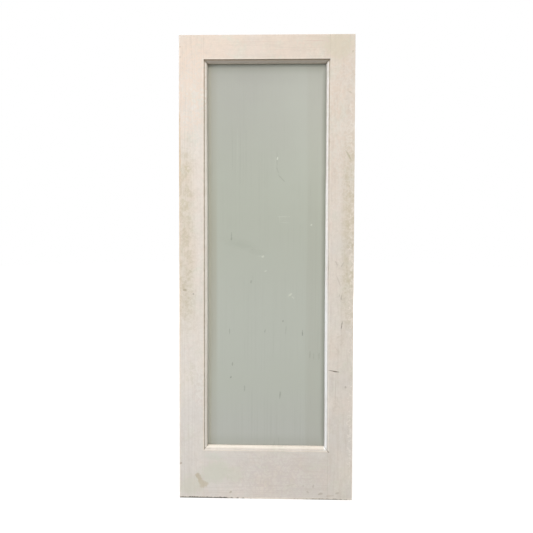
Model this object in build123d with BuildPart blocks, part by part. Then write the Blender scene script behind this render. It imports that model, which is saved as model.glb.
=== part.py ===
# A single-light door leaf: two full-height stiles and two rails, dowelled and coped together,
# around one tall pane of frosted glass.
#
# The leaf stands upright with +Z up. The origin is at the foot of the left-hand edge, in the middle
# of the leaf's thickness. +X runs across the leaf, and the front, with the loose stops, faces -Y.
# On the back the moulding is machined on the stiles and rails themselves, so each rail's end is
# coped over the stile's moulding. On the front the glass is held by four loose mitred stops.

import os

from build123d import *

# Driving dimensions, in millimetres
inch = 25.4
door_width = 30 * inch
door_height = 80 * inch
door_thickness = 1.75 * inch
stile_face = 4.25 * inch  # flat face of a stile, from the leaf's edge to the moulding
top_rail_face = 4.125 * inch
bottom_rail_face = 8.5625 * inch
arris_radius = 1.5  # the leaf's outer edges are sanded round

moulding_width = 9 * inch / 16
quirk_depth = inch / 8  # the small step from the face down to the moulding
quirk_width = inch / 16  # the flat at the foot of that step
mitre_gap = 0.3  # the open hairline between two stops

glass_thickness = 3 * inch / 16
glass_bite = 3 * inch / 8  # how far the glass reaches behind the moulding
glass_arris = 0.4  # the cut edges of the glass are ground
tape_thickness = inch / 16
tape_setback = 0.5  # from the moulding's edge to the tape's
block_length = 4 * inch
block_width = 7.0

dowel_diameter = inch / 2
dowel_length = 5 * inch
dowel_end_gap = 2.0  # room for glue past each end of a dowel
dowel_chamfer = 1.0
dowel_set_forward = inch / 8  # from mid-thickness towards the front, clear of the moulding
top_dowel_count = 2
top_dowel_spacing = 2.25 * inch
bottom_dowel_count = 4
bottom_dowel_spacing = 1.9 * inch

# Places worked out from them
front = -door_thickness / 2
back = door_thickness / 2
ovolo_radius = moulding_width - quirk_width
moulding_depth = (door_thickness - glass_thickness) / 2 - tape_thickness
light_left = stile_face
light_right = door_width - stile_face
light_bottom = bottom_rail_face
light_top = door_height - top_rail_face
light_width = light_right - light_left
light_height = light_top - light_bottom
light_centre = (door_width / 2, (light_bottom + light_top) / 2)
edge_room = moulding_width - glass_bite  # free space round the glass
glass_width = light_width - 2 * edge_room
glass_height = light_height - 2 * edge_room
tape_width = glass_bite - tape_setback
tape_inset = edge_room + tape_width / 2  # from the rebate to the middle of the tape
bore_depth = dowel_length / 2 + dowel_end_gap

# Planes that the leaf is mirrored about, and those that the stops are mitred on
across = Plane.YZ.offset(door_width / 2)
upright = Plane.XY.offset(light_centre[1])
lower_left_mitre = Plane((light_left, 0, light_bottom), z_dir=(1, 0, -1))
upper_left_mitre = Plane((light_left, 0, light_top), z_dir=(1, 0, 1))
lower_right_mitre = Plane((light_right, 0, light_bottom), z_dir=(-1, 0, -1))


def dowel_heights(rail_bottom, rail_top, count, spacing):
    """Heights of the dowels in one end of a rail, evenly spaced about the rail's middle."""
    lowest = (rail_bottom + rail_top - (count - 1) * spacing) / 2
    return [lowest + step * spacing for step in range(count)]


def bores(heights, x, into):
    """Drills a dowel bore at each height, from the joint at x towards +X where into is 1, or -X."""
    with Locations([Plane((x, -dowel_set_forward, z), z_dir=(-into, 0, 0)) for z in heights]):
        Hole(dowel_diameter / 2, depth=bore_depth)


def save(piece, name):
    """Names a finished piece and writes it."""
    piece.label = name
    export_step(piece, f"parts/{name}.step")


os.makedirs("parts", exist_ok=True)
top_heights = dowel_heights(light_top, door_height, top_dowel_count, top_dowel_spacing)
bottom_heights = dowel_heights(0, light_bottom, bottom_dowel_count, bottom_dowel_spacing)

# The ovolo's section, used for the machined mouldings and the stops alike: X runs from the flat
# face towards the opening, Y from the face into the leaf
with BuildSketch() as moulding:
    with BuildLine():
        Polyline(
            (moulding_width, quirk_depth + ovolo_radius),
            (moulding_width, moulding_depth),
            (0, moulding_depth),
            (0, quirk_depth),
            (quirk_width, quirk_depth),
        )
        CenterArc((quirk_width, quirk_depth + ovolo_radius), ovolo_radius, -90, 90)
    make_face()

# Stiles: a plain section, eased along its outer edge and ends, with the back moulding along its
# inner edge, from end to end
with BuildPart() as left_stile:
    with BuildSketch(Plane.XY):
        with Locations((stile_face / 2, 0)):
            Rectangle(stile_face, door_thickness)
    extrude(amount=door_height)
    outer_edges = left_stile.edges().filter_by(Axis.Z).group_by(Axis.X)[0]
    fillet(outer_edges + left_stile.edges().filter_by(Axis.X), arris_radius)
    with BuildSketch(Plane((stile_face, back, door_height), x_dir=(1, 0, 0), z_dir=(0, 0, -1))):
        add(moulding.sketch)
    extrude(amount=door_height)
    bores(top_heights + bottom_heights, stile_face, -1)
save(left_stile.part, "left_stile")

with BuildPart() as right_stile:
    mirror(left_stile.part, about=across)
save(right_stile.part, "right_stile")

# Rails: the same section lying along X, then coped, which shapes each end to fit over the stile
with BuildPart() as top_rail:
    with BuildSketch(Plane.YZ.offset(light_left)):
        with Locations((0, light_top + top_rail_face / 2)):
            Rectangle(door_thickness, top_rail_face)
    extrude(amount=light_width)
    fillet(top_rail.edges().filter_by(Axis.X).group_by(Axis.Z)[-1], arris_radius)
    with BuildSketch(Plane((light_right, back, light_top), x_dir=(0, 0, -1), z_dir=(-1, 0, 0))):
        add(moulding.sketch)
    extrude(amount=light_width)
    add(left_stile.part, mode=Mode.SUBTRACT)
    add(right_stile.part, mode=Mode.SUBTRACT)
    bores(top_heights, light_left, 1)
    bores(top_heights, light_right, -1)
save(top_rail.part, "top_rail")

with BuildPart() as bottom_rail:
    with BuildSketch(Plane.YZ.offset(light_left)):
        with Locations((0, bottom_rail_face / 2)):
            Rectangle(door_thickness, bottom_rail_face)
    extrude(amount=light_width)
    fillet(bottom_rail.edges().filter_by(Axis.X).group_by(Axis.Z)[0], arris_radius)
    with BuildSketch(Plane((light_left, back, light_bottom), x_dir=(0, 0, 1), z_dir=(1, 0, 0))):
        add(moulding.sketch)
    extrude(amount=light_width)
    add(left_stile.part, mode=Mode.SUBTRACT)
    add(right_stile.part, mode=Mode.SUBTRACT)
    bores(bottom_heights, light_left, 1)
    bores(bottom_heights, light_right, -1)
save(bottom_rail.part, "bottom_rail")

# Dowels, one set to each joint, lying across the line where the rail meets the stile
for rail, heights in {"top": top_heights, "bottom": bottom_heights}.items():
    with BuildPart() as dowels:
        with Locations([(light_left, -dowel_set_forward, z) for z in heights]):
            Cylinder(dowel_diameter / 2, dowel_length, rotation=(0, 90, 0))
        chamfer(dowels.edges().filter_by(GeomType.CIRCLE), dowel_chamfer)
    save(dowels.part, f"dowels_{rail}_left")
    with BuildPart() as far_dowels:
        mirror(dowels.part, about=across)
    save(far_dowels.part, f"dowels_{rail}_right")

# Loose stops on the front: lengths of the moulding, cut at 45 degrees where two of them meet
with BuildPart() as stop_left:
    with BuildSketch(Plane((light_left, front, light_bottom), x_dir=(1, 0, 0), z_dir=(0, 0, 1))):
        add(moulding.sketch)
    extrude(amount=light_height)
    split(bisect_by=lower_left_mitre.offset(-mitre_gap / 2), keep=Keep.BOTTOM)
    split(bisect_by=upper_left_mitre.offset(-mitre_gap / 2), keep=Keep.BOTTOM)
save(stop_left.part, "stop_left")

with BuildPart() as stop_bottom:
    with BuildSketch(Plane((light_right, front, light_bottom), x_dir=(0, 0, 1), z_dir=(-1, 0, 0))):
        add(moulding.sketch)
    extrude(amount=light_width)
    split(bisect_by=lower_left_mitre.offset(mitre_gap / 2), keep=Keep.TOP)
    split(bisect_by=lower_right_mitre.offset(mitre_gap / 2), keep=Keep.TOP)
save(stop_bottom.part, "stop_bottom")

# Glass, a little smaller than the rebate it stands in
with BuildPart() as glass_pane:
    with BuildSketch(Plane.XZ):
        with Locations(light_centre):
            Rectangle(glass_width, glass_height)
    extrude(amount=glass_thickness / 2, both=True)
    chamfer(glass_pane.edges(), glass_arris)
save(glass_pane.part, "glass_pane")

# Glazing tape on both faces of the glass, set back a little from the moulding's edge
side_tape_size = (tape_width, glass_height)
end_tape_size = (glass_width - 2 * tape_width, tape_width)
tape_places = {
    "left": ((light_left + tape_inset, light_centre[1]), side_tape_size),
    "right": ((light_right - tape_inset, light_centre[1]), side_tape_size),
    "bottom": ((light_centre[0], light_bottom + tape_inset), end_tape_size),
    "top": ((light_centre[0], light_top - tape_inset), end_tape_size),
}
tape_faces = {"front": glass_thickness / 2, "back": -glass_thickness / 2 - tape_thickness}
for side, (centre, size) in tape_places.items():
    for face, forward in tape_faces.items():
        with BuildPart() as tape:
            with BuildSketch(Plane.XZ.offset(forward)):
                with Locations(centre):
                    Rectangle(*size)
            extrude(amount=tape_thickness)
        save(tape.part, f"tape_{face}_{side}")

# Setting blocks, which the glass stands on, a quarter of the way in from each side
with BuildPart() as setting_block_left:
    with BuildSketch(Plane.XY.offset(light_bottom)):
        with Locations((light_left + light_width / 4, 0)):
            Rectangle(block_length, block_width)
    extrude(amount=edge_room)
save(setting_block_left.part, "setting_block_left")

# The opposite piece of each of these, mirrored across the leaf or up it
opposites = {
    "stop_right": (stop_left.part, across),
    "stop_top": (stop_bottom.part, upright),
    "setting_block_right": (setting_block_left.part, across),
}
for name, (original, plane) in opposites.items():
    with BuildPart() as opposite:
        mirror(original, about=plane)
    save(opposite.part, name)
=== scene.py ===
# A used, painted door leaf with one tall light of frosted glass: the worn wood, the aged paint and
# the marked glass that the plain solids leave out, put where those solids stand.
# Everything is in metres, in the leaf's own frame: X across, -Y the front, Z up, the floor at 0.

import math

import bpy
import numpy as np
from mathutils import Matrix, Vector


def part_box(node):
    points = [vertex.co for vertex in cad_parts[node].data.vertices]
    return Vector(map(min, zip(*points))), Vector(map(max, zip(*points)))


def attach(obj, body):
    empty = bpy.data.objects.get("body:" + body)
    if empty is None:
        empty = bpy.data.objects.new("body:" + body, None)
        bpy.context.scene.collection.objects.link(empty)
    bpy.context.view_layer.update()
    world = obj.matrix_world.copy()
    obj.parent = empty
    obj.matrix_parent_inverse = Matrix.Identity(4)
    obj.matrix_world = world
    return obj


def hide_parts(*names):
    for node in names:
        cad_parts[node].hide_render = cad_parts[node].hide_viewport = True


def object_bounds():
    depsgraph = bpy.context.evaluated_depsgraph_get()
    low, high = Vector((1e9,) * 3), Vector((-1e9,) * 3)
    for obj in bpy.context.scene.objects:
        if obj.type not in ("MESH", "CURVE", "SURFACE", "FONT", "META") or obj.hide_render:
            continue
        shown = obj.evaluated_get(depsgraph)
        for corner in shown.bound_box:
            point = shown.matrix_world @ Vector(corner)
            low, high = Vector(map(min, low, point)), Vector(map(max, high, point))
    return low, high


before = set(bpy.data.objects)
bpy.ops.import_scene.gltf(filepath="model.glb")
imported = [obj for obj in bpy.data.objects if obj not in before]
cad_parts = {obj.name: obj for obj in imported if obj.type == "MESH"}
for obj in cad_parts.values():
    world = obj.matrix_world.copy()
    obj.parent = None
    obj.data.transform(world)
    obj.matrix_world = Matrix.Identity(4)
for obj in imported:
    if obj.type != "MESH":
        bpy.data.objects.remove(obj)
cadLow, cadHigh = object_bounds()
print("frame loaded")

mm = 0.001

# Places on the leaf, read from the solids
leafWidth = cadHigh.x
leafHeight = cadHigh.z
halfThick = cadHigh.y
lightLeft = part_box("top_rail")[0].x
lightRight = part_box("top_rail")[1].x
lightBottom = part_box("stop_bottom")[0].z
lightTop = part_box("stop_top")[1].z
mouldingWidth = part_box("stop_bottom")[1].z - lightBottom
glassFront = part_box("glass_pane")[0].y
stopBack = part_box("stop_left")[1].y
print("places read: light", round(lightRight - lightLeft, 4), "by", round(lightTop - lightBottom, 4))

# Meshes: a profile carried along a path

moulding = {
    "quirkDepthMm": 3.175,   # the step from the face down to the moulding
    "quirkWidthMm": 1.5875,  # the flat at the foot of that step
    "easeMm": 0.35,          # paint and sanding round every sharp edge
    "arrisMm": 1.5,          # the leaf's outer edges
}
wear = {
    "rowMm": 2.5,    # from one row of points to the next along a stile or rail
    "rubMm": 0.35,   # how far a well rubbed arris is worn down
    "chipMm": 1.1,   # and how much deeper its chips go
    "reachMm": 2.6,  # how far in from the arris that wear spreads
}


# An arc: points at even angles round a centre, in degrees from the first axis towards the second
def arc(centre, radius, start, end, count):
    turn = np.radians(np.linspace(start, end, count))
    return np.stack([centre[0] + radius * np.cos(turn), centre[1] + radius * np.sin(turn)], axis=1)


# A straight run with both its ends, its points closer together near them: a cosine spacing
def run(start, end, count):
    share = (1 - np.cos(np.linspace(0, math.pi, count))) / 2
    return np.array(start) + share[:, None] * (np.array(end) - np.array(start))


# The section of a stile or rail, round its outline. The first number is the distance in from the
# leaf's outer edge, the second is the depth, with the front at -halfThick. face is the width of the
# flat. The back carries the ovolo: quirk, quarter circle, flat, and the rebate behind it.
def memberSection(face):
    ease = moulding["easeMm"] * mm
    arris = moulding["arrisMm"] * mm
    quirkIn = halfThick - moulding["quirkDepthMm"] * mm
    quirkOut = face + moulding["quirkWidthMm"] * mm
    radius = mouldingWidth - moulding["quirkWidthMm"] * mm
    nose = face + mouldingWidth
    flat = -stopBack
    parts = [
        arc((arris, -halfThick + arris), arris, 180, 270, 10),
        run((arris + ease, -halfThick), (face - 2 * ease, -halfThick), 14),
        arc((face - ease, -halfThick + ease), ease, 270, 360, 4),
        run((face, -halfThick + 2 * ease), (face, flat), 5),
        run((face + ease, flat), (nose - 2 * ease, flat), 3),
        arc((nose - ease, flat + ease), ease, 270, 360, 4),
        run((nose, flat + 2 * ease), (nose, quirkIn - radius - ease), 3),
        arc((nose - radius, quirkIn - radius), radius, 0, 90, 14),
        run((quirkOut - ease, quirkIn), (face + ease, quirkIn), 3),
        run((face, quirkIn + ease), (face, halfThick - 2 * ease), 3),
        arc((face - ease, halfThick - ease), ease, 0, 90, 4),
        run((face - 2 * ease, halfThick), (arris + ease, halfThick), 14),
        arc((arris, halfThick - arris), arris, 90, 180, 10),
        run((0, halfThick - arris - ease), (0, -halfThick + arris + ease), 10),
    ]
    return np.concatenate(parts)


# The section of a loose stop. The first number is the distance in from the edge of the light, the
# second is the depth: the same ovolo, the other way round.
def stopSection():
    ease = moulding["easeMm"] * mm
    quirkIn = -halfThick + moulding["quirkDepthMm"] * mm
    quirkOut = moulding["quirkWidthMm"] * mm
    radius = mouldingWidth - quirkOut
    parts = [
        arc((ease, quirkIn + ease), ease, 180, 270, 4),
        run((1.5 * ease, quirkIn), (quirkOut - ease / 2, quirkIn), 3),
        arc((quirkOut, quirkIn + radius), radius, 270, 360, 20),
        run((mouldingWidth, quirkIn + radius + ease), (mouldingWidth, stopBack - 2 * ease), 4),
        arc((mouldingWidth - ease, stopBack - ease), ease, 0, 90, 4),
        run((mouldingWidth - 2 * ease, stopBack), (ease, stopBack), 3),
        run((0, stopBack - ease), (0, quirkIn + 2 * ease), 4),
    ]
    return np.concatenate(parts)


# Which way the outline faces at each of its points: the tangent between its neighbours, turned by a
# right angle, outwards for an outline that runs with the solid on its left
def outwards(section):
    tangent = np.roll(section, -1, axis=0) - np.roll(section, 1, axis=0)
    tangent /= np.linalg.norm(tangent, axis=1, keepdims=True)
    return np.stack([tangent[:, 1], -tangent[:, 0]], axis=1)


# Soft random heights from 0 to 1 along a line: random numbers one pitch apart, joined by smooth steps
def roughLine(places, pitch, seed):
    heights = np.random.default_rng(seed).random(2048)
    cell = np.floor(places / pitch).astype(int)
    step = places / pitch - cell
    step = step * step * (3 - 2 * step)
    return heights[cell % 2048] * (1 - step) + heights[(cell + 1) % 2048] * step


# A ramp from 0 to 1 between two values, with soft ends
def smoothStep(low, high, value):
    share = np.clip((value - low) / (high - low), 0, 1)
    return share * share * (3 - 2 * share)


# Puts a tube of rows x columns points into a mesh, with a face on each end, and turns its faces
# round if the volume that they enclose comes out negative. worn is kept as a value at each point.
def tubeObject(name, points, worn):
    rows, columns = points.shape[:2]
    flat = points.reshape(-1, 3)
    centred = flat - flat.mean(axis=0)
    across = np.arange(columns)
    along = np.arange(rows - 1)[:, None] * columns
    quads = np.stack([along + across, along + np.roll(across, -1),
                      along + columns + np.roll(across, -1), along + columns + across], axis=2)
    quads = quads.reshape(-1, 4)
    first, second, third = (centred[quads[:, corner]] for corner in (0, 1, 2))
    enclosed = np.einsum("ij,ij->i", first, np.cross(second, third)).sum()
    ends = [across[::-1], across + (rows - 1) * columns]
    if enclosed < 0:
        quads = quads[:, ::-1]
        ends = [end[::-1] for end in ends]
    mesh = bpy.data.meshes.new(name)
    mesh.from_pydata(flat.tolist(), [], quads.tolist() + [end.tolist() for end in ends])
    smooth = np.ones(len(quads) + 2, dtype=bool)
    smooth[-2:] = False
    mesh.polygons.foreach_set("use_smooth", smooth)
    mesh.attributes.new("worn", "FLOAT", "POINT").data.foreach_set("value", worn.ravel())
    piece = bpy.data.objects.new(name, mesh)
    bpy.context.scene.collection.objects.link(piece)
    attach(piece, "root")
    return piece


# How far an arris is worn, at each place along it: slow rubbing, with chips of two sizes where a
# fast random line is above a level that the rubbing lowers. handled is extra rubbing, 0 to 1.
def arrisWear(places, handled, seed):
    slow = roughLine(places, 0.11, seed)
    rub = smoothStep(0.35, 0.95, 0.55 * slow + 0.25 * roughLine(places, 0.018, seed + 1) + 0.35 * handled)
    large = smoothStep(0.80, 0.95, roughLine(places, 0.016, seed + 2) * (0.80 + 0.25 * rub))
    small = smoothStep(0.78, 0.92, roughLine(places, 0.006, seed + 3) * (0.75 + 0.30 * rub))
    fine = roughLine(places, 0.004, seed + 4)
    chip = large * (0.6 + 0.4 * fine) + 0.4 * small
    return (wear["rubMm"] * rub * (0.6 + 0.4 * fine) + wear["chipMm"] * chip) * mm


# A section pressed in along its normals, by its own amount in each row: the distance in and the depth
def pressedIn(section, inset):
    normals = outwards(section)
    return (section[None, :, axis] - inset * normals[None, :, axis] for axis in (0, 1))


# Puts points on the leaf: inwards from one of its edges, at a depth, and along the other way
def onLeaf(edge, into, upright, inwards, depth, along):
    across = edge + into * inwards
    return np.stack((across, depth, along) if upright else (along, depth, across), axis=2)


# A stile or rail: its section carried along, each point of it from its own start to its own end,
# then pressed in at both outer arrises by their wear, which fades with the distance from the arris.
# handled(front, along) is the extra rubbing.
def memberObject(name, edge, into, face, starts, ends, upright, handled, seed):
    section = memberSection(face)
    arris = moulding["arrisMm"] * mm
    length = (ends - starts).max()
    count = int(length / (wear["rowMm"] * mm))
    nearEnd = np.array([0, 0.15, 0.4, 0.8, 1.2, 1.6]) * mm / length  # rows close enough for a round end
    between = np.linspace(2.2 * mm / length, 1 - 2.2 * mm / length, count)
    share = np.concatenate([nearEnd, between, 1 - nearEnd[::-1]])
    along = starts[None, :] + share[:, None] * (ends - starts)[None, :]
    inset = np.zeros_like(along)
    for side, front in ((-1, True), (1, False)):
        toArris = np.hypot(section[:, 0] - 0.3 * arris, section[:, 1] - side * (halfThick - 0.3 * arris))
        fade = np.exp(-(toArris / (wear["reachMm"] * mm)) ** 2)
        inset += fade[None, :] * arrisWear(along, handled(front, along), seed + (0 if front else 40))
    inwards, depth = pressedIn(section, inset)
    if upright:  # a stile's front and back are rounded over at both ends too
        toEnd = np.minimum(share, 1 - share)[:, None] * length
        short = np.clip(arris - toEnd, 0, arris)
        limit = halfThick - (arris - np.sqrt(arris ** 2 - short ** 2))
        outer = section[None, :, 0] < face
        depth = np.where(outer, np.clip(depth, -limit, limit), depth)
    worn = smoothStep(0.10 * mm, 0.75 * mm, inset)
    return tubeObject(name, onLeaf(edge, into, upright, inwards, depth, along), worn)


# The depth profile that a rail's end is coped to: how far the stile's surface stands out at a depth
def copeReach(depth):
    quirk = moulding["quirkWidthMm"] * mm
    radius = mouldingWidth - quirk
    centre = halfThick - moulding["quirkDepthMm"] * mm - radius
    rounded = quirk + np.sqrt(np.clip(radius ** 2 - (depth - centre) ** 2, 0, None))
    reach = np.where(depth < centre, mouldingWidth, rounded)
    reach = np.where(depth > centre + radius, 0, reach)
    return np.where(depth < -stopBack, 0, reach)


# Both stiles are rubbed most where hands carry and push them; the right one lower down
def leftHandled(front, along):
    return smoothStep(0.62, 0.86, along) * smoothStep(1.66, 1.45, along) * (1.0 if front else 0.5)


def rightHandled(front, along):
    low = smoothStep(0.60, 0.70, along) * smoothStep(0.95, 0.86, along)
    high = 0.45 * smoothStep(0.9, 1.0, along) * smoothStep(1.62, 1.4, along)
    return np.maximum(low, high) * (1.0 if front else 0.5)


def railHandled(front, along):
    return np.full_like(along, 0.15)


jointGap = 0.03 * mm  # a painted-over hairline where a rail meets a stile
memberPlaces = {
    # outer edge, which way is inwards, width of the flat, extra rubbing, seed
    "left_stile": (0, 1, lightLeft, leftHandled, 11),
    "right_stile": (leafWidth, -1, lightLeft, rightHandled, 211),
    "top_rail": (leafHeight, -1, leafHeight - lightTop, railHandled, 411),
    "bottom_rail": (0, 1, lightBottom, railHandled, 611),
}
pieces = {}
for name, (edge, into, face, handled, seed) in memberPlaces.items():
    upright = name.endswith("stile")
    reach = copeReach(memberSection(face)[:, 1]) + jointGap
    starts, ends = lightLeft + reach, lightRight - reach
    if upright:
        starts, ends = np.zeros_like(reach), np.full_like(reach, leafHeight)
    pieces[name] = memberObject("worn_" + name, edge, into, face, starts, ends, upright, handled, seed)

# Loose stops: the same way, mitred, so that a point's start and end are its own distance in from the
# edge of the light. They bow and dip by a few tenths of a millimetre, as nailed beads do.
stopWear = {
    "rowMm": 4,
    "mitreGapMm": 0.2,  # the open hairline between two stops, on each side of it
    "bowMm": 0.22,      # how far the nose dips between brads
    "rippleMm": 0.10,   # and from one stroke of the sanding block to the next
    "chipMm": 0.35,
}
stopPlaces = {
    # the edge of the light that it lies along, which way is into the light, upright or not
    "stop_left": (lightLeft, 1, True),
    "stop_right": (lightRight, -1, True),
    "stop_bottom": (lightBottom, 1, False),
    "stop_top": (lightTop, -1, False),
}
section = stopSection()
for index, (name, (edge, into, upright)) in enumerate(stopPlaces.items()):
    start, end = (lightBottom, lightTop) if upright else (lightLeft, lightRight)
    starts = start + section[:, 0] + stopWear["mitreGapMm"] * mm
    ends = end - section[:, 0] - stopWear["mitreGapMm"] * mm
    count = int((end - start) / (stopWear["rowMm"] * mm))
    share = np.concatenate([[0, 0.0004], np.linspace(0.001, 0.999, count), [0.9996, 1]])
    along = starts[None, :] + share[:, None] * (ends - starts)[None, :]
    nose = smoothStep(0.3, 0.9, section[:, 0] / mouldingWidth) * (section[:, 1] < stopBack - mm)
    bow = stopWear["bowMm"] * mm * roughLine(along, 0.19, 811 + 10 * index)
    ripple = stopWear["rippleMm"] * mm * roughLine(along, 0.03, 813 + 10 * index)
    chip = smoothStep(0.975, 0.995, roughLine(along, 0.007, 815 + 10 * index))
    inset = (bow + ripple + stopWear["chipMm"] * mm * chip) * nose[None, :]
    points = onLeaf(edge, into, upright, *pressedIn(section, inset), along)
    worn = smoothStep(0.3 * mm, 0.9 * mm, inset)
    pieces[name] = tubeObject("painted_" + name, points, worn)
for name, piece in pieces.items():
    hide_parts(name)
print("worn stiles, rails and stops built")


# Materials

def linear(hexColour):  # sRGB hex to linear RGBA: the curve is a line near black and a power above it
    channels = [int(hexColour[i:i + 2], 16) / 255 for i in (1, 3, 5)]
    return tuple(c / 12.92 if c <= 0.04045 else ((c + 0.055) / 1.055) ** 2.4 for c in channels) + (1.0,)


# Adds a node with its settings and links. kind is its type, without ShaderNode in front. A link's
# value is a constant, an output, or another node, which stands for its first output.
def addNode(tree, kind, settings=None, links=None):
    node = tree.nodes.new("ShaderNode" + kind)
    for name, value in (settings or {}).items():
        setattr(node, name, value)
    for socket, value in (links or {}).items():
        if isinstance(value, bpy.types.Node):
            value = value.outputs[0]
        if isinstance(value, bpy.types.NodeSocket):
            tree.links.new(value, node.inputs[socket])
        else:
            node.inputs[socket].default_value = value
    return node


smooth = {"interpolation_type": "SMOOTHSTEP"}
add = {"operation": "ADD"}
subtract = {"operation": "SUBTRACT"}
multiply = {"operation": "MULTIPLY"}
multiplyAdd = {"operation": "MULTIPLY_ADD"}
larger = {"operation": "MAXIMUM"}
smaller = {"operation": "MINIMUM"}
absolute = {"operation": "ABSOLUTE"}
slope = ("Value", "From Min", "From Max", "To Min", "To Max")  # the columns of the tables of masks


def newMaterial(name):  # an empty material, its tree, and where on the leaf each point is
    material = bpy.data.materials.new(name)
    material.use_nodes = True
    tree = material.node_tree
    tree.nodes.clear()
    return material, tree, addNode(tree, "TexCoord").outputs["Object"]


def finishMaterial(material, values):  # gives a material its shader and its output
    shader = addNode(material.node_tree, "BsdfPrincipled", {}, values)
    addNode(material.node_tree, "OutputMaterial", {}, {"Surface": shader})
    return material


# A soft band: rises between the first two values and falls between the last two
def bandMask(tree, value, start, full, past, end):
    rise = addNode(tree, "MapRange", smooth, {"Value": value, "From Min": start, "From Max": full})
    fall = addNode(tree, "MapRange", smooth, {"Value": value, "From Min": end, "From Max": past})
    return addNode(tree, "Math", multiply, {0: rise, 1: fall})


# A noise drawn out along the grain: the place is divided by the pattern's length and width
def drawnNoise(tree, place, grain, lengthMm, widthMm, values):
    along, across = 1 / (lengthMm * mm), 1 / (widthMm * mm)
    drawn = addNode(tree, "VectorMath", multiply, {
        0: place, 1: (along, across, across) if grain == "X" else (across, across, along)})
    return addNode(tree, "TexNoise", {}, {"Vector": drawn, "Scale": 1.0, **values})


# Coats laid over one another, first to last: each is the mask that it shows in and its colour
def layCoats(tree, colour, coats):
    for mask, coat in coats:
        coat = linear(coat) if isinstance(coat, str) else coat
        colour = addNode(tree, "Mix", {"data_type": "RGBA"}, {0: mask, 6: colour, 7: coat}).outputs[2]
    return colour


# Marks on one face, each (x, z, half length, half width, turn, strength, colour) in millimetres and
# degrees anticlockwise: the distance from the middle of an ellipse, made ragged by a fine noise
def markCoats(tree, place, ragged, marks, y):
    coats = []
    for x, z, halfLength, halfWidth, turn, strength, colour in marks:
        local = addNode(tree, "Mapping", {"vector_type": "TEXTURE"}, {
            "Vector": place, "Location": (x * mm, y, z * mm), "Rotation": (0, math.radians(-turn), 0),
            "Scale": (halfLength * mm, 4 * mm, halfWidth * mm)})
        reach = addNode(tree, "VectorMath", {"operation": "LENGTH"}, {0: local}).outputs["Value"]
        rough = addNode(tree, "Math", add, {0: reach, 1: ragged})
        mask = addNode(tree, "MapRange", smooth, {
            "Value": rough, "From Min": 1.15, "From Max": 0.6, "To Max": strength})
        coats.append((mask, colour))
    return coats


wood = {
    "early": "#D8BE96",   # softwood's pale spring growth
    "late": "#A67F52",    # and its darker summer growth
    "soiled": "#8A7A62",  # what dirt does to it, once it is bare
    "ringMm": 3.4,
    "bendMm": 71.43,      # how far apart the rings' bends are, across the grain
    "bendByMm": 30,       # and how far they go
}
paint = {
    "clean": "#E8E1D8",     # cream alkyd house paint where it has been wiped
    "warm": "#E7D7C8",      # warmer, in slow patches and more of it towards the top
    "cool": "#E0DBD5",      # greyer, in slow patches and more of it towards the foot
    "level": "#E2DAD2",     # the rails' paint, darker as painted shade: brushed across, they shade differently from the stiles
    "fresh": "#FAF9F6",     # the stops' own, newer coat
    "dusty": "#E4DCCF",     # the same on the level ones, where dust lies
    "leftNoseHighlight": "#FFFAF2",  # a painted highlight on the left stop's nose
    "rightNoseHighlight": "#FAFCFD",   # a painted highlight, cool white, on the right stop's lower half
    "edge": "#F3E9DC",      # cleaner paint along the leaf's own edges, where it is wiped most, carrying a painted highlight there and beside the quirks
    "pink": "#E6D8CF",      # two faint casts that old paint takes on in patches
    "green": "#DDDDCF",
    "wiped": "#C4B7AA",     # what a damp cloth leaves behind in long strokes
    "stain": "#B6AD9F",     # fine dirt, over all of it
    "dirt": "#8E8068",
    "joint": "#8D7F6C",     # dirt in the hairlines between stile and rail
    "mitre": "#5F5446",     # and in the open ones between two stops
    "shadeUnderTop": "#574D41",      # painted shade under the top stop
    "olive": "#BCB191",     # hand grime over yellowed paint
    "primer": "#D2C3A8",    # undercoat, where the top coat has rubbed thin
    "roughness": 0.48,
    "bareRoughness": 0.88,
    "ior": 1.5,
    "brushMm": 1.6,         # from one brush groove to the next
    "strokeMm": 160,        # how long a groove runs
    "wipeMm": 11,           # a wiped stroke's width
    "wipeLengthMm": 120,
    "blotShiftMm": 60,      # how far the outlines of the hand blots are pushed about
    "lapMm": 9,             # how raggedly the paint laps over the sawn ends
    "leastShadeHeight": 1.05,    # in metres: where the painted shade on the stops' edges by the glass is least
    "patchyDirt": 0.46,     # how much of the fine dirt lies in patches, and how much in specks
    "speckledDirt": 0.62,
    "filmShare": 0.19,      # strengths of the hand grime, of the painted highlight beside the quirk and of the one on the left stop's nose
    "quirkEdgeHighlightShare": 0.85,
    "leftNoseHighlightShare": 0.45,
    "grooveMm": 0.10,       # depths of the brush grooves, the grain, the dents and the chips
    "grainMm": 0.12,
    "dentMm": 0.4,
    "chipMm": 0.25,
}
paintNoises = {
    # size (mm), detail, roughness, distortion
    "clouds": (238.1, 3.0, 0.6, 0.0),    # yellowing
    "casts": (76.92, 5.0, 0.7, 0.5),     # pinker and greener patches
    "patches": (47.62, 5.0, 0.66, 0.8),  # where dirt gathers
    "loose": (22.22, 3.0, 0.5, 0.0),     # breaks up the hand blots
    "stipple": (12.5, 4.0, 0.72, 0.4),   # specks, coarser than real ones, so that they show
}
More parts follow.
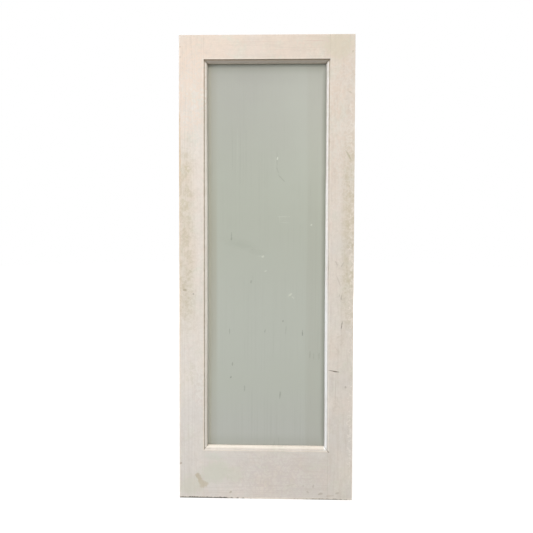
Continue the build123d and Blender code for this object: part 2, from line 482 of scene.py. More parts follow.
frontMarks = [
    # x, z, half length, half width (mm), turn, strength, colour
    (156, 116, 72, 50, 12, 0.5, "#CCCEBC"),        # pale green, where a cleaner has bleached it
    (246, 108, 44, 40, 0, 0.4, "#D0D0BF"),
    (150, 186, 40, 18, 0, 0.35, "#CFD2C6"),
    (52, 58, 60, 44, 20, 0.45, "#CECDBB"),
    (690, 1984, 70, 62, 0, 0.52, "#CCC5AF"),       # and in the top right-hand corner
    (675, 573.5, 23, 1.7, -9, 1.0, "#7B6F62"),     # scratch beside the right stop
    (684, 571, 12, 2.2, -10, 0.9, "#665B50"),
    (711.5, 774, 21, 2.6, 81, 0.85, "#9A8E83"),    # long nick in the right stile
    (735, 1515, 24, 4.2, -61, 0.55, "#A7A07E"),    # olive rub high on the right stile
    (730, 502, 5, 5, 20, 0.6, "#A69C90"),
    (686.5, 488, 64, 1.6, 89, 0.35, "#B0A396"),    # faint upright crack in the paint
    (688, 1044, 14, 3.6, -60, 0.42, "#AFA597"),    # scuffs above it
    (713, 1040, 15, 3.2, 55, 0.4, "#AFA597"),
    (697, 968, 28, 3.2, -68, 0.36, "#B1A79A"),
    (709, 896, 17, 2.8, 84, 0.5, "#A0968A"),
    (700, 905, 9, 2.4, 80, 0.4, "#A79D90"),
    (656, 215, 6, 2.6, -40, 0.65, "#8F8373"),      # dirt at a mitre's outer corner
    (62, 908, 4, 3.6, 0, 0.7, "#9B9285"),
    (25, 926, 10, 6, -15, 0.65, "#A0967A"),
    (226, 29, 7, 4.5, 30, 0.65, "#AFA592"),
    (591, 59, 8, 4.5, 82, 0.55, "#B1A79B"),
    (548, 62, 5, 4, 0, 0.4, "#B6ACA0"),
    (490, 64, 22, 3.5, 12, 0.28, "#B8AEA2"),
    (567, 33, 7, 5, -40, 0.45, "#ABA193"),
    (624, 27, 11, 6, 12, 0.55, "#ABA193"),
    (696, 30, 9, 5, 15, 0.45, "#ABA193"),
    (664, 18, 22, 4, 8, 0.35, "#B1A894"),
    (6, 1981, 4, 3, 0, 0.55, "#B5A68C"),           # small knocks near the top corners
    (6, 1937, 4, 3, 30, 0.5, "#B5A68C"),
    (752, 1959, 6, 3.5, 60, 0.55, "#B8AD98"),
    (741, 1784, 10, 4, -32, 0.55, "#BBB09C"),
    (6, 156, 6, 5, 0, 0.55, "#A0907C"),
    (113.6, 1595.5, 2.2, 2.2, 0, 0.7, "#8A7C6A"),  # heads of brads under the stops' paint
    (113.2, 1027.6, 2.2, 2.2, 0, 0.7, "#8A7C6A"),
    (648.5, 585.3, 2.2, 2.2, 0, 0.6, "#8A7C6A"),
    (577, 2004, 56, 1.8, 1.5, 0.45, "#CDAFA2"),    # pink undercoat along the top rail's grain
    (545, 1994, 40, 1.5, 0, 0.35, "#CDAFA2"),
    (330, 2001, 120, 1.6, 1, 0.25, "#CDB3A6"),
    (430, 1966, 90, 1.5, 0, 0.2, "#C9AEA2"),
    (95, 0.2, 200, 7.0, 0, 0.98, "#4B4740"),       # painted contact shadow along the foot, here and in the next row
    (640, 0.2, 125, 5.2, 0, 0.85, "#665F54"),
    (1.0, 1080, 820, 3.4, 90, 0.6, "#DCC3A1"),     # tan, where the left edge has been rubbed
    (2.0, 1530, 190, 5.5, 90, 0.6, "#CFB796"),
]
handBlots = [  # soft blots where hands and the floor have been, their outlines broken up further
    (34, 1458, 15, 24, 10, 0.55, "#BFB593"),
    (24, 1420, 16, 20, 0, 0.35, "#C6BCA0"),
    (26, 1296, 19, 34, 0, 0.42, "#C2B898"),
    (44, 1380, 9, 44, 0, 0.3, "#C4BA9C"),
    (22, 1165, 17, 44, 0, 0.42, "#BFB598"),
    (30, 1232, 24, 24, 0, 0.3, "#C7BEA4"),
    (42, 1006, 7, 34, -14, 0.45, "#B9AF94"),
    (33, 968, 22, 5, 40, 0.4, "#B4AA90"),
    (28, 860, 14, 24, 0, 0.38, "#C0B69A"),
    (52, 560, 26, 60, 0, 0.3, "#C9C4B0"),
    (716, 1545, 14, 14, 0, 0.4, "#BFB89C"),
    (734, 1191, 12, 42, -6, 0.36, "#BFB698"),
    (730, 1061, 15, 24, 12, 0.32, "#BBB296"),
    (722, 1285, 20, 36, 0, 0.24, "#C4BBA2"),
    (700, 1040, 24, 50, 0, 0.22, "#C3B9A8"),
    (716, 886, 18, 10, 75, 0.5, "#B5AB9A"),
    (724, 850, 24, 5, 60, 0.35, "#B8AE9C"),
    (704, 700, 70, 12, 78, 0.32, "#BFB5A4"),
    (690, 430, 60, 16, 86, 0.26, "#BFB5A8"),
    (668, 330, 16, 60, 0, 0.22, "#C3BAAE"),
    (430, 105, 250, 120, 0, 0.42, "#CBC0BC"),
    (55, 1830, 95, 260, 0, 0.5, "#E7D3C1"),
    (722, 1650, 110, 430, 0, 0.26, "#DFDCD5"),
    (560, 1990, 95, 34, 0, 0.36, "#D4CFC0"),
    (600, 1950, 120, 16, 0, 0.2, "#EDE5D6"),
    (732, 960, 28, 240, 0, 0.32, "#DDD5CA"),
    (88, 500, 24, 95, 0, 0.4, "#E8E5DE"),
    # pale strips along the right edge, this and the next two: painted highlight
    (752, 960, 8, 520, 0, 0.45, "#ECE3D8"),
    (750, 300, 8, 220, 0, 0.45, "#ECE5DD"),
    (748, 1640, 10, 130, 0, 0.4, "#E9E0D4"),
]
tapeResidue = [  # what an old strip of tape left: a neck that widens to a foot
    (79, 104, 10, 10.5, -58, 0.85, "#C3B9A6"),
    (86, 93, 16, 10.5, -58, 0.85, "#C3B9A6"),
    (93, 81, 15, 12.5, -58, 0.85, "#C5BBA8"),
    (100, 71, 13, 13, 0, 0.85, "#C9C0AD"),
    (110, 62, 16, 13, -8, 0.85, "#C9C0AD"),
    (101, 56, 14, 10, -8, 0.85, "#C9C0AD"),
]


# Softwood under everything: rings round a pith line beside the board, along its grain. The distance
# from the pith, bent by a slow noise, goes through a sine, one turn a ring.
def ringMask(tree, place, grain):
    stretch = (0.02, 1, 1) if grain == "X" else (1, 1, 0.02)
    pith = (0.3, 0.055, 0.06) if grain == "X" else (0.06, 0.055, 0.9)
    centred = addNode(tree, "VectorMath", subtract, {0: place, 1: pith})
    drawn = addNode(tree, "VectorMath", multiply, {0: centred, 1: stretch})
    slow = addNode(tree, "TexNoise", {}, {
        "Vector": drawn, "Scale": 1 / (wood["bendMm"] * mm), "Detail": 2.0})
    bend = addNode(tree, "VectorMath", {"operation": "SCALE"}, {
        0: slow.outputs["Color"], "Scale": wood["bendByMm"] * mm})
    bent = addNode(tree, "VectorMath", add, {0: drawn, 1: bend})
    radius = addNode(tree, "VectorMath", {"operation": "LENGTH"}, {0: bent}).outputs["Value"]
    turns = addNode(tree, "Math", multiply, {0: radius, 1: 2 * math.pi / (wood["ringMm"] * mm)})
    wave = addNode(tree, "Math", {"operation": "SINE"}, {0: turns})
    return addNode(tree, "MapRange", smooth, {"Value": wave, "From Min": -0.6, "From Max": 1.0})


# Alkyd house paint, brushed over softwood: a thick, soft-gloss cream skin. It shows fine brush
# grooves and a little of the grain below, yellows and takes up grime where hands go, fills with dirt
# in the joints and with dirt and painted shade in the quirks, and is rubbed through to undercoat and
# bare wood along the arrises. Painted shade lies under the top stop, in the top corners and on the
# stops' edges by the glass, and painted highlights beside the quirks, on the stops' noses and along
# the leaf's edges. grain is the direction that the wood and the brush run in.
def makePaint(name, grain):
    material, tree, place = newMaterial(name)
    split = addNode(tree, "SeparateXYZ", {}, {"Vector": place})
    x, y, z = (split.outputs[axis] for axis in "XYZ")
    facing = addNode(tree, "SeparateXYZ", {}, {"Vector": addNode(tree, "NewGeometry").outputs["Normal"]})
    worn = addNode(tree, "Attribute", {"attribute_name": "worn"}).outputs["Fac"]
    rings = ringMask(tree, place, grain)
    brush = drawnNoise(tree, place, grain, paint["strokeMm"], paint["brushMm"], {
        "Detail": 3.0, "Roughness": 0.65})
    wipes = drawnNoise(tree, place, grain, paint["wipeLengthMm"], paint["wipeMm"], {
        "Detail": 4.0, "Roughness": 0.62, "Distortion": 0.3})
    clouds, casts, patches, loose, stipple = (
        addNode(tree, "TexNoise", {}, {
            "Vector": place, "Scale": 1 / (size * mm), "Detail": detail, "Roughness": roughness,
            "Distortion": distortion})
        for size, detail, roughness, distortion in paintNoises.values())
    tints = addNode(tree, "SeparateXYZ", {}, {"Vector": casts.outputs["Color"]})

    # How far in from the light's edge: fromSide and fromEnd are negative outside it
    toLeft, toRight, toBottom, toTop = (
        addNode(tree, "Math", subtract, {0: far, 1: near})
        for far, near in ((x, lightLeft), (lightRight, x), (z, lightBottom), (lightTop, z)))
    fromSide = addNode(tree, "Math", smaller, {0: toLeft, 1: toRight})
    fromEnd = addNode(tree, "Math", smaller, {0: toBottom, 1: toTop})
    inside = addNode(tree, "Math", smaller, {0: fromSide, 1: fromEnd})
    onSide = addNode(tree, "Math", {"operation": "LESS_THAN"}, {0: fromSide, 1: fromEnd})

    # How far from a mitre, from a joint, from the height where the painted shade on the stops' edges is
    # least and from the leaf's own middle, up it and through it; and how level the surface lies
    skew = addNode(tree, "Math", subtract, {0: fromSide, 1: fromEnd})
    fromHalf = addNode(tree, "Math", subtract, {0: z, 1: paint["leastShadeHeight"]})
    fromMiddle = addNode(tree, "Math", subtract, {0: z, 1: leafHeight / 2})
    offMitre, offJoint, offHalf, farOut, depth, upright = (
        addNode(tree, "Math", absolute, {0: value})
        for value in (skew, fromSide, fromHalf, fromMiddle, y, facing.outputs["Z"]))

    # To the nearest of the leaf's own sides and its foot
    toFar = addNode(tree, "Math", subtract, {0: leafWidth, 1: x})
    nearSide = addNode(tree, "Math", smaller, {0: x, 1: toFar})
    aboveFoot = addNode(tree, "Math", subtract, {0: z, 1: 4 * mm})
    toEdge = addNode(tree, "Math", smaller, {0: nearSide, 1: aboveFoot})

    # Even slopes: what each reads, where it starts and ends, and its value at both, or 0 and 1
    evenRows = {
        "yellower": (z, 0.1, leafHeight, -0.2, 0.30),
        # painted shade: more of the fine dirt stipple towards the right
        "shadeToRight": (x, 0.15, leafWidth, -0.03, 0.19),
        "wipeShare": (x, 0.1, leafWidth, 0.15, 0.30),
        "rightShare": (x, lightLeft, lightRight),
        "endDirtAndShade": (z, lightBottom, lightTop, 0.06, 0.72),
        "highUp": (z, 1.85, 1.88),
        "onStop": (inside, 0, 0.4 * mm),
        "within": (inside, -0.3 * mm, 0.1 * mm),
        "onRail": (fromEnd, 0.2 * mm, -0.2 * mm),
        "inLight": (fromEnd, -2 * mm, 0),
        "atEnd": (farOut, leafHeight / 2 - 4 * mm, leafHeight / 2 - 2 * mm),
        "uneven": (patches, 0.3, 0.7, 0.7, 1.3),
        "ragged": (stipple, 0.3, 0.7, -0.45, 0.45),
    }
    even = {key: addNode(tree, "MapRange", {}, dict(zip(slope, row))) for key, row in evenRows.items()}

    # Yellower towards the top and greyer towards the foot; a fine stipple of dirt in patches, with more
    # of it to the right as painted shade; thin drawn lines; worn arrises, broken up; and a ragged lap over
    # the ends
    leaning = addNode(tree, "Math", add, {0: clouds, 1: even["yellower"]})
    soiled = addNode(tree, "Math", multiplyAdd, {0: patches, 1: paint["patchyDirt"], 2: even["shadeToRight"]})
    stippled = addNode(tree, "Math", multiplyAdd, {0: stipple, 1: paint["speckledDirt"], 2: soiled})
    stain = addNode(tree, "MapRange", {}, dict(zip(slope, (stippled, 0.40, 0.86, 0, 0.40))))
    grainLines = addNode(tree, "Math", multiply, {0: rings, 1: brush})
    drawn = addNode(tree, "MapRange", {}, dict(zip(slope, (grainLines, 0.2, 0.65, 0, 0.10))))
    broken = addNode(tree, "Math", multiply, {0: patches, 1: stipple})
    breaking = addNode(tree, "Math", multiplyAdd, {0: stipple, 1: 0.5, 2: worn})
    lapped = addNode(tree, "Math", multiplyAdd, {0: even["ragged"], 1: paint["lapMm"] * mm, 2: depth})

    # Soft slopes, in the same columns
    softRows = {
        "warm": (leaning, 0.45, 0.85),
        "cool": (leaning, 0.52, 0.28),
        "pink": (tints.outputs["X"], 0.48, 0.74, 0, 0.5),
        "green": (tints.outputs["Y"], 0.48, 0.74, 0, 0.6),
        "wipeLines": (wipes, 0.46, 0.70),
        "blotches": (broken, 0.17, 0.40, 0, 0.48),
        "rightDirtAndShade": (z, 1.15, 1.75, 0.08, 0.44),
        "underTop": (toTop, 15 * mm, 6 * mm, 0, 0.60),
        "nearMitre": (offMitre, 1.3 * mm, 0.3 * mm, 0, 0.8),
        "nearJoint": (offJoint, 0.7 * mm, 0.2 * mm, 0, 0.22),
        "nose": (inside, 2.5 * mm, 7 * mm, 0, 0.80),
        "nearEnds": (offHalf, 0.15, 0.70, 0, 0.42),
        "nearCorner": (offMitre, 11 * mm, 2 * mm, 0, 0.45),
        "lowDown": (z, 1.15, 0.60),
        "ontoNose": (inside, 0, 7 * mm, 0.12, 0.52),
        # cleaner paint with a painted highlight, along the leaf's sides and foot
        "nearEdge": (toEdge, 5.5 * mm, 2 * mm, 0, 0.75),
        "thin": (breaking, 0.38, 0.62, 0, 0.85),
        "bare": (breaking, 0.72, 0.82),
        "level": (upright, 0.80, 0.92),
        "clear": (lapped, halfThick - 1.5 * mm, halfThick - 3 * mm),
    }
    soft = {key: addNode(tree, "MapRange", smooth, dict(zip(slope, row))) for key, row in softRows.items()}

    # Hands go on the outer half of both stiles, at the height where a leaf is carried and pushed
    leftHalf = bandMask(tree, x, -0.02, -0.01, 0.035, 0.090)
    rightHalf = bandMask(tree, x, leafWidth - 0.065, leafWidth - 0.030, leafWidth + 0.01, leafWidth + 0.02)
    outerHalf = addNode(tree, "Math", larger, {0: leftHalf, 1: rightHalf})
    handled = bandMask(tree, z, 0.66, 0.92, 1.42, 1.68)
    # How dark the quirks are, dirt and painted shade together: strongest along the top stop and the left
    # stile, and higher up on the right
    sideDirtAndShade = addNode(tree, "Mix", {}, {0: even["rightShare"], 2: 0.50, 3: soft["rightDirtAndShade"]})
    quirkDirtAndShade = addNode(tree, "Mix", {}, {0: onSide, 2: even["endDirtAndShade"], 3: sideDirtAndShade})
    quirk = bandMask(tree, inside, -0.3 * mm, 0.9 * mm, 3.6 * mm, 6.2 * mm)
    besideQuirk = bandMask(tree, inside, -5.5 * mm, -3 * mm, -0.6 * mm, -0.1 * mm)
    # Where the painted shade on the stops' edges by the glass and the painted highlights on their noses go
    byGlass = bandMask(tree, fromSide, 9.5 * mm, 12.5 * mm, 16 * mm, 17 * mm)
    leftNose = bandMask(tree, toLeft, 5 * mm, 9 * mm, 15 * mm, 17 * mm)
    overRight = bandMask(tree, toRight, -6 * mm, -3.5 * mm, 16 * mm, 18 * mm)

    # Each of these shows where all of its parts do: the parts are multiplied together
    partRows = {
        "wiped": (soft["wipeLines"], even["wipeShare"]),  # long, soft wipe marks along the grain
        "film": (outerHalf, handled, paint["filmShare"]),  # hand grime, thin all over and in blotches
        "grime": (outerHalf, handled, soft["blotches"]),
        # dirt and painted shade in the quirks
        "quirk": (quirk, even["uneven"], quirkDirtAndShade),
        "quirkEdgeHighlight": (besideQuirk, paint["quirkEdgeHighlightShare"]),    # painted highlight on the edge of the face beside the quirk
        # painted shade under the top stop
        "shadeUnderTop": (soft["underTop"], even["onStop"]),
        "mitre": (soft["nearMitre"], even["within"]),
        "joint": (soft["nearJoint"], even["onRail"]),
        "shadeByGlass": (byGlass, soft["nearEnds"], onSide),   # painted shade on the stops' edges by the glass, stronger towards their ends
        "cornerShade": (soft["nearCorner"], even["highUp"], even["within"]),  # painted shade in the top corners
        "leftNoseHighlight": (leftNose, onSide, paint["leftNoseHighlightShare"]),  # painted highlight on the left stop's nose
        # painted highlight on the right stop's lower half
        "rightNoseHighlight": (overRight, soft["lowDown"], even["inLight"], soft["ontoNose"]),
        "sawn": (soft["level"], even["atEnd"], soft["clear"]),  # unpainted ends, inside the laps
    }
    shown = {}
    for key, (mask, *others) in partRows.items():
        for other in others:
            mask = addNode(tree, "Math", multiply, {0: mask, 1: other})
        shown[key] = mask

    # The outlines of the hand blots are pushed about by a noise
    offset = addNode(tree, "VectorMath", subtract, {0: loose.outputs["Color"], 1: (0.5, 0.5, 0.5)})
    moved = addNode(tree, "VectorMath", {"operation": "SCALE"}, {
        0: offset, "Scale": paint["blotShiftMm"] * mm})
    bentPlace = addNode(tree, "VectorMath", add, {0: place, 1: moved})

    timber = layCoats(tree, linear(wood["early"]), [(rings, wood["late"]), (stain, wood["soiled"])])
    colour = layCoats(tree, linear(paint["level" if grain == "X" else "clean"]), [
        (soft["warm"], paint["warm"]),
        (soft["cool"], paint["cool"]),
        (soft["nose"], paint["dusty" if grain == "X" else "fresh"]),
        # cleaner paint with a painted highlight, along the leaf's sides and foot
        (soft["nearEdge"], paint["edge"]),
        (shown["quirkEdgeHighlight"], paint["edge"]),
        (soft["pink"], paint["pink"]),
        (soft["green"], paint["green"]),
        (drawn, paint["dirt"]),
        (shown["wiped"], paint["wiped"]),
        (stain, paint["stain"]),
        (shown["film"], paint["olive"]),
        (shown["grime"], paint["olive"]),
        (shown["leftNoseHighlight"], paint["leftNoseHighlight"]),
        (shown["rightNoseHighlight"], paint["rightNoseHighlight"]),
        *markCoats(tree, bentPlace, even["ragged"], handBlots, -halfThick),
        *markCoats(tree, place, even["ragged"], frontMarks + tapeResidue, -halfThick),
        (shown["shadeByGlass"], paint["dirt"]),
        (shown["cornerShade"], paint["dirt"]),
        # painted shade under the top stop
        (shown["shadeUnderTop"], paint["shadeUnderTop"]),
        # dirt and painted shade in the quirks
        (shown["quirk"], paint["dirt"]),
        (shown["mitre"], paint["mitre"]),
        (shown["joint"], paint["joint"]),
        (soft["thin"], paint["primer"]),
        (soft["bare"], timber),
        (shown["sawn"], timber),
    ])

    # Soft gloss, dulled by grime and gone from bare wood; grooves, grain and the step down to a chip
    openWood = addNode(tree, "Math", larger, {0: soft["bare"], 1: shown["sawn"]})
    dull = addNode(tree, "Math", larger, {0: openWood, 1: shown["grime"]})
    gloss = addNode(tree, "MapRange", {}, {
        "Value": dull, "To Min": paint["roughness"], "To Max": paint["bareRoughness"]})
    grooves = addNode(tree, "Bump", {}, {
        "Height": brush, "Strength": 0.5, "Distance": paint["grooveMm"] * mm})
    telegraphed = addNode(tree, "Bump", {}, {
        "Height": rings, "Strength": 0.35, "Distance": paint["grainMm"] * mm, "Normal": grooves})
    dents = addNode(tree, "Bump", {}, {
        "Height": stipple, "Strength": 0.25, "Distance": paint["dentMm"] * mm, "Normal": telegraphed})
    step = addNode(tree, "Bump", {"invert": True}, {
        "Height": openWood, "Strength": 0.8, "Distance": paint["chipMm"] * mm, "Normal": dents})
    return finishMaterial(material, {
        "Base Color": colour, "Roughness": gloss, "IOR": paint["ior"], "Normal": step})


glass = {
    "head": "#AEAFA6",     # greyer towards the top and foot, deepest in colour between; the tone by height is painted light, lighter low down against the lamps' fall-off and darkest at the head as painted shade under the top stop
    "top": "#B5B6AD",
    "middle": "#BABEB1",
    "low": "#C1C5BB",
    "foot": "#C1C3BC",
    "fog": "#BCC1B4",      # faint, slow clouds
    "film": "#938C78",     # what a cloth leaves near the right stop
    "browner": "#A39A80",  # a browner film near the left one, with painted shade in it
    "paleByLeftStop": "#CECBBB",     # painted light: a paler band right beside the left stop
    "edge": "#7F8171",     # painted shade near the right, top and bottom stops
    "streak": "#A4A99C",
    "roughness": 0.5,
    "ior": 1.52,
    "transmission": 0.2,
    "streakMm": 7,
    "streakLengthMm": 520,
    "cloudMm": 200,
    "raggedMm": 6.667,     # what makes the outlines of the marks ragged
    "gritMm": 0.6,         # coarser than real etching, so that it shows
    "etchMm": 0.05,        # its depth
    "wanderMm": 14,        # how far the films' edges wander
    "filmShare": 0.12,     # strength of the left film and its painted shade, and how much more halfway up
    "filmAndShadeHalfway": 0.15,
    # strength of the painted light beside the left stop
    "lightByLeftStopShare": 0.40,
}
glassMarks = [
    (427, 1500, 36, 2.4, 90, 0.41, "#9FA496"),   # curved smear, in three strokes
    (430, 1452, 18, 2.6, -72, 0.41, "#9FA496"),
    (449, 1415, 24, 3.2, -46, 0.49, "#9BA092"),
    (419, 1478, 34, 1.6, 88, 0.25, "#CBD0C4"),
    (429, 1504, 7, 3.0, 80, 0.9, "#D9DCD0"),
    (458, 1249, 28, 2.6, 0, 0.55, "#CBCFC3"),
    (466, 1223, 24, 2.2, -4, 0.4, "#CBCFC3"),
    (440, 1236, 2.4, 16, 0, 0.35, "#CBCFC3"),
    (579, 1213, 5, 4, 60, 0.8, "#D6D9CE"),
    (366, 1073, 7, 5, 30, 0.9, "#D6D9CD"),
    (355, 1075, 16, 4, 4, 0.35, "#CDD1C6"),
    (378, 1009, 7, 4, 40, 0.7, "#D3D7CB"),
    (489, 905, 8, 4.5, 35, 0.9, "#D6D9CC"),
    (500, 892, 7, 4.5, -40, 0.7, "#D0D4C8"),
    (480, 900, 10, 2.5, 80, 0.5, "#CED2C6"),
    (262, 1130, 84, 26, -12, 0.11, "#9EA495"),   # a wiped-over smear
    (270, 1124, 52, 13, -14, 0.1, "#9EA495"),
    (340, 1092, 44, 16, -10, 0.11, "#9EA495"),
    (231, 1540, 105, 1.6, 90, 0.34, "#A3A89B"),  # upright streaks, high on the left
    (243, 1500, 125, 1.3, 90, 0.26, "#A3A89B"),
    (254, 1560, 90, 1.4, 90, 0.3, "#CACFC3"),
    (266, 1520, 140, 1.6, 90, 0.3, "#A3A89B"),
    (279, 1490, 100, 1.3, 90, 0.26, "#A3A89B"),
    (291, 1540, 110, 1.5, 90, 0.24, "#A3A89B"),
    (227, 1165, 18, 2.2, 88, 0.45, "#878D80"),
    (227, 1150, 8, 4, 80, 0.45, "#868C7F"),
    (456, 788, 5, 3, 90, 0.74, "#81867B"),
    (219, 741, 17, 2.0, 90, 0.49, "#8D9386"),
    (542, 735, 14, 2.6, 88, 0.7, "#7F847A"),
    (376, 742, 11, 2.4, 80, 0.49, "#8B9184"),
    (469, 750, 22, 2.0, 85, 0.37, "#979D90"),
    (232, 594, 9, 3.4, 85, 0.53, "#8A9083"),
    (225, 535, 7, 3.0, 70, 0.66, "#7E8478"),
    (286, 487, 16, 3, 88, 0.41, "#8D9386"),
    (444, 457, 16, 4.0, 86, 0.49, "#8A9083"),
    (576, 637, 20, 3, 88, 0.41, "#979C8C"),
    (592, 630, 18, 2.4, 90, 0.33, "#9A9F90"),
    (616, 633, 18, 3, 88, 0.33, "#979C8C"),
    (314, 960, 9, 4, 80, 0.41, "#8D9386"),
    (322, 980, 16, 2, 90, 0.2, "#979D90"),
    (418, 232, 24, 2.4, 88, 0.37, "#9AA093"),
    (438, 250, 30, 2.4, 90, 0.29, "#9AA093"),
]


# Float glass, acid etched on one face: the etching scatters the light, so that the pane is a soft,
# almost even sage. Upright streaks come from water and wiping, films stay along the stops, and the
# small dark dashes are drips of paint and putty. Painted light is in its tone as well: lighter low
# down, painted shade near the stops, and a paler painted band beside the left stop.
def makeFrostedGlass():
    material, tree, place = newMaterial("acidEtchedGlass")
    split = addNode(tree, "SeparateXYZ", {}, {"Vector": place})
    x, z = split.outputs["X"], split.outputs["Z"]
    drawn = addNode(tree, "VectorMath", multiply, {
        0: place, 1: (1 / (glass["streakMm"] * mm), 1, 1 / (glass["streakLengthMm"] * mm))})
    streaks = addNode(tree, "TexNoise", {}, {"Vector": drawn, "Scale": 1.0, "Detail": 3.0, "Roughness": 0.7})
    clouds, fine, grit = (
        addNode(tree, "TexNoise", {}, {
            "Vector": place, "Scale": 1 / (glass[size] * mm), "Detail": detail, "Roughness": roughness})
        for size, detail, roughness in (("cloudMm", 3.0, 0.6), ("raggedMm", 3.0, 0.5), ("gritMm", 2.0, 0.5)))
    fogged = addNode(tree, "MapRange", {}, dict(zip(slope, (clouds, 0.35, 0.7, 0, 0.30))))
    ragged = addNode(tree, "MapRange", {}, dict(zip(slope, (fine, 0.3, 0.7, -0.3, 0.3))))

    # What shows of the glass ends at the stops' edges. Along the left stop lies a brown film with
    # painted shade in it, a little way out and strongest halfway up, with a paler band of painted light
    # right beside the stop; along the right one a grey film, 80 mm wide. Painted shade darkens the glass
    # near the right, top and bottom stops.
    sightLeft, sightRight = lightLeft + mouldingWidth, lightRight - mouldingWidth
    sightBottom, sightTop = lightBottom + mouldingWidth, lightTop - mouldingWidth
    wander = addNode(tree, "Math", multiplyAdd, {0: streaks, 1: glass["wanderMm"] * mm, 2: x})
    halfway = bandMask(tree, z, 0.50, 0.75, 1.15, 1.50)
    strength = addNode(tree, "Math", multiplyAdd, {
        0: halfway, 1: glass["filmAndShadeHalfway"], 2: glass["filmShare"]})
    filmAndShadeBand = bandMask(tree, wander, *(sightLeft + out * mm for out in (6, 22, 40, 54)))
    leftFilmAndShade = addNode(tree, "Math", multiply, {0: filmAndShadeBand, 1: strength})
    lightBandByLeftStop = bandMask(tree, x, *(sightLeft + out * mm for out in (1, 7, 12, 19)))
    lightByLeftStop = addNode(tree, "Math", multiply, {0: lightBandByLeftStop, 1: glass["lightByLeftStopShare"]})
    softRows = {
        "aboveLow": (z, 0.7, 1.3),
        "aboveMiddle": (z, 1.3, 1.85),
        "aboveTop": (z, 1.80, 1.88),
        "belowLow": (z, 0.55, 0.25),
        "wiped": (streaks, 0.45, 0.80, 0, 0.5),
        "grouped": (clouds, 0.62, 0.42, 0.04, 0.55),
        "rightFilm": (wander, sightRight - 85 * mm, sightRight - 62 * mm, 0, 0.11),
        # painted shade near the right, top and bottom stops
        "toRight": (x, sightRight - 22 * mm, sightRight - 2 * mm, 0, 0.42),
        "toTop": (z, sightTop - 50 * mm, sightTop, 0, 0.50),
        "toFoot": (z, lightBottom + 75 * mm, sightBottom, 0, 0.20),
    }
    soft = {key: addNode(tree, "MapRange", smooth, dict(zip(slope, row))) for key, row in softRows.items()}
    streaked = addNode(tree, "Math", multiply, {0: soft["wiped"], 1: soft["grouped"]})
    toEnds = addNode(tree, "Math", larger, {0: soft["toTop"], 1: soft["toFoot"]})
    shadeNearStops = addNode(tree, "Math", larger, {0: soft["toRight"], 1: toEnds})

    colour = layCoats(tree, linear(glass["low"]), [
        # the tone by height: painted light, lighter low down and darkest at the head
        (soft["aboveLow"], glass["middle"]),
        (soft["aboveMiddle"], glass["top"]),
        (soft["aboveTop"], glass["head"]),
        (soft["belowLow"], glass["foot"]),
        (fogged, glass["fog"]),
        (streaked, glass["streak"]),
        (leftFilmAndShade, glass["browner"]),
        (lightByLeftStop, glass["paleByLeftStop"]),
        (soft["rightFilm"], glass["film"]),
        (shadeNearStops, glass["edge"]),
        *markCoats(tree, place, ragged, glassMarks, glassFront),
    ])
    frost = addNode(tree, "Bump", {}, {"Height": grit, "Strength": 0.25, "Distance": glass["etchMm"] * mm})
    return finishMaterial(material, {
        "Base Color": colour, "Roughness": glass["roughness"], "IOR": glass["ior"],
        "Transmission Weight": glass["transmission"], "Normal": frost})


foamTape = {
    "dark": "#4A4943",
    "pale": "#6C6A61",
    "cellMm": 0.5,
    "roughness": 0.9,
}


# Closed-cell foam tape, extruded: matt, dark and finely pitted
def makeFoamTape():
    material, tree, place = newMaterial("closedCellFoamTape")
    cells = addNode(tree, "TexVoronoi", {}, {"Vector": place, "Scale": 1 / (foamTape["cellMm"] * mm)})
    tone = addNode(tree, "MapRange", {}, {"Value": cells, "To Max": 0.8})
    pits = addNode(tree, "Bump", {}, {"Height": cells, "Strength": 0.5, "Distance": 0.1 * mm})
    return finishMaterial(material, {
        "Base Color": layCoats(tree, linear(foamTape["dark"]), [(tone, foamTape["pale"])]),
        "Roughness": foamTape["roughness"], "Normal": pits})


rubber = {
    "body": "#1B1B1B",
    "bloom": "#2C2B2A",
    "bloomMm": 8.333,
    "roughness": 0.75,
}


# Moulded rubber for the setting blocks: near black, with a faint bloom
def makeRubber():
    material, tree, place = newMaterial("mouldedRubber")
    bloom = addNode(tree, "TexNoise", {}, {
        "Vector": place, "Scale": 1 / (rubber["bloomMm"] * mm), "Detail": 4.0})
    return finishMaterial(material, {
        "Base Color": layCoats(tree, linear(rubber["body"]), [(bloom, rubber["bloom"])]),
        "Roughness": rubber["roughness"]})


birch = {
    "pale": "#D6BE95",
    "dark": "#B9986A",
    "grainMm": 0.8,
    "grainLengthMm": 40,
    "roughness": 0.7,
}


# Birch dowel, turned and left bare: pale, with fine grain along its length
def makeBirch():
    material, tree, place = newMaterial("turnedBirch")
    lines = drawnNoise(tree, place, "X", birch["grainLengthMm"], birch["grainMm"], {"Detail": 3.0})
    return finishMaterial(material, {
        "Base Color": layCoats(tree, linear(birch["pale"]), [(lines, birch["dark"])]),
        "Roughness": birch["roughness"]})


uprightPaint = makePaint("brushedPaintOnUprightSoftwood", "Z")
levelPaint = makePaint("brushedPaintOnLevelSoftwood", "X")
finishes = {
    "glass": makeFrostedGlass(),
    "tape": makeFoamTape(),
    "setting": makeRubber(),
    "dowels": makeBirch(),
}
for name, piece in [*pieces.items(), *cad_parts.items()]:
    finish = finishes.get(name.split("_")[0])
    if finish is None:  # a stile, rail or stop
        finish = levelPaint if name.endswith(("rail", "top", "bottom")) else uprightPaint
    piece.data.materials.clear()
    piece.data.materials.append(finish)
print("materials made")

# Stage: a pale floor under a white sky, and soft light from overhead, with a little from each side

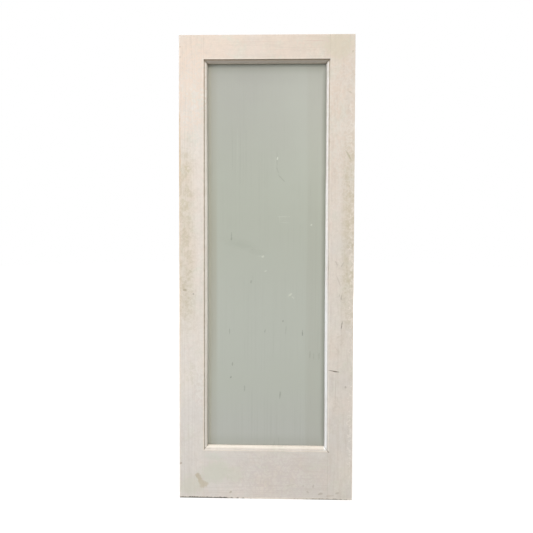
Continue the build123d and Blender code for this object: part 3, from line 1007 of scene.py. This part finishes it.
stage = {
    "radius": 14.0,
    "bounce": "#8A8883",  # what the floor gives back to the leaf
    "glowNear": 0.82,     # how white the camera sees it, at the leaf and far off
    "glowFar": 1.0,
    "fadeStart": 1.5,
    "fadeEnd": 5.0,
    "sky": 0.24,
}
angles = np.linspace(0, 2 * math.pi, 97)[:-1]
rim = np.stack([np.cos(angles), np.sin(angles), np.zeros_like(angles)], axis=1) * stage["radius"]
floorMesh = bpy.data.meshes.new("floor")
floorMesh.from_pydata(rim.tolist(), [], [list(range(len(rim)))])
floor = bpy.data.objects.new("floor", floorMesh)
bpy.context.scene.collection.objects.link(floor)


# 1 where the camera sees something, straight on, in a gloss or through glass
def seenMask(tree):
    rays = addNode(tree, "LightPath").outputs
    direct = addNode(tree, "Math", larger, {0: rays["Is Camera Ray"], 1: rays["Is Glossy Ray"]})
    return addNode(tree, "Math", larger, {0: direct, 1: rays["Is Transmission Ray"]})


material, tree, place = newMaterial("paleFloor")
distance = addNode(tree, "VectorMath", {"operation": "LENGTH"}, {0: place}).outputs["Value"]
white = addNode(tree, "MapRange", smooth, dict(zip(slope, (
    distance, stage["fadeStart"], stage["fadeEnd"], stage["glowNear"], stage["glowFar"]))))
share = addNode(tree, "Math", multiply, {0: seenMask(tree), 1: white})
matt = addNode(tree, "BsdfDiffuse", {}, {"Color": linear(stage["bounce"])})
glow = addNode(tree, "Emission", {}, {"Color": (1, 1, 1, 1), "Strength": share})
both = addNode(tree, "AddShader", {}, {0: matt, 1: glow})
addNode(tree, "OutputMaterial", {}, {"Surface": both})
floorMesh.materials.append(material)

world = bpy.data.worlds.new("studio")
world.use_nodes = True
tree = world.node_tree
tree.nodes.clear()
strength = addNode(tree, "MapRange", {}, {"Value": seenMask(tree), "To Min": stage["sky"]})
sky = addNode(tree, "Background", {}, {"Color": (1, 1, 1, 1), "Strength": strength})
addNode(tree, "OutputWorld", {}, {"Surface": sky})
bpy.context.scene.world = world

lamps = [
    # name, place, aimed at, width, height, watts, colour
    ("overhead", (-0.8, -11.4, 16.1), (0.38, 0, 1.0), 15.0, 4.5, 2170, "#FFFAF2"),
    ("left", (-5.5, -3.4, 3.1), (0.30, 0, 1.0), 2.6, 2.2, 318, "#EAF0FD"),
    ("right", (4.9, -3.5, 2.6), (0.45, 0, 1.0), 3.0, 3.0, 92, "#FDFBF8"),
    ("back", (2.2, 5.0, 3.4), (0.38, 0, 1.0), 3.0, 3.0, 190, "#F7F9FF"),
]
for name, place, aim, width, height, watts, colour in lamps:
    light = bpy.data.lights.new(name, "AREA")
    light.shape = "RECTANGLE"
    light.size = width
    light.size_y = height
    light.energy = watts
    light.color = linear(colour)[:3]
    lamp = bpy.data.objects.new(name, light)
    lamp.location = place
    lamp.rotation_euler = (Vector(aim) - Vector(place)).to_track_quat("-Z", "Y").to_euler()
    bpy.context.scene.collection.objects.link(lamp)

# Camera: worked out from the leaf's outline and the depth of its moulding in the photograph

view = {
    "place": (0.411, -1.658, 1.177),
    "turn": 1.01,    # degrees to the left
    "tilt": -1.296,  # degrees, down
    "roll": 0.171,
    "focalPixels": 375.49,
    "framePixels": 533,
    "shiftPixels": -25.0,
    "sensorMm": 36.0,
}
cameraData = bpy.data.cameras.new("camera")
cameraData.sensor_width = view["sensorMm"]
cameraData.lens = view["focalPixels"] / view["framePixels"] * view["sensorMm"]
cameraData.shift_y = view["shiftPixels"] / view["framePixels"]
camera = bpy.data.objects.new("camera", cameraData)
bpy.context.scene.collection.objects.link(camera)
turned = (
    Matrix.Rotation(math.radians(view["turn"]), 4, "Z")
    @ Matrix.Rotation(math.radians(90 + view["tilt"]), 4, "X")
    @ Matrix.Rotation(math.radians(view["roll"]), 4, "Z")
)
camera.matrix_world = Matrix.Translation(view["place"]) @ turned
bpy.context.scene.camera = camera
bpy.context.scene.view_settings.view_transform = "Standard"
print("stage and camera set")
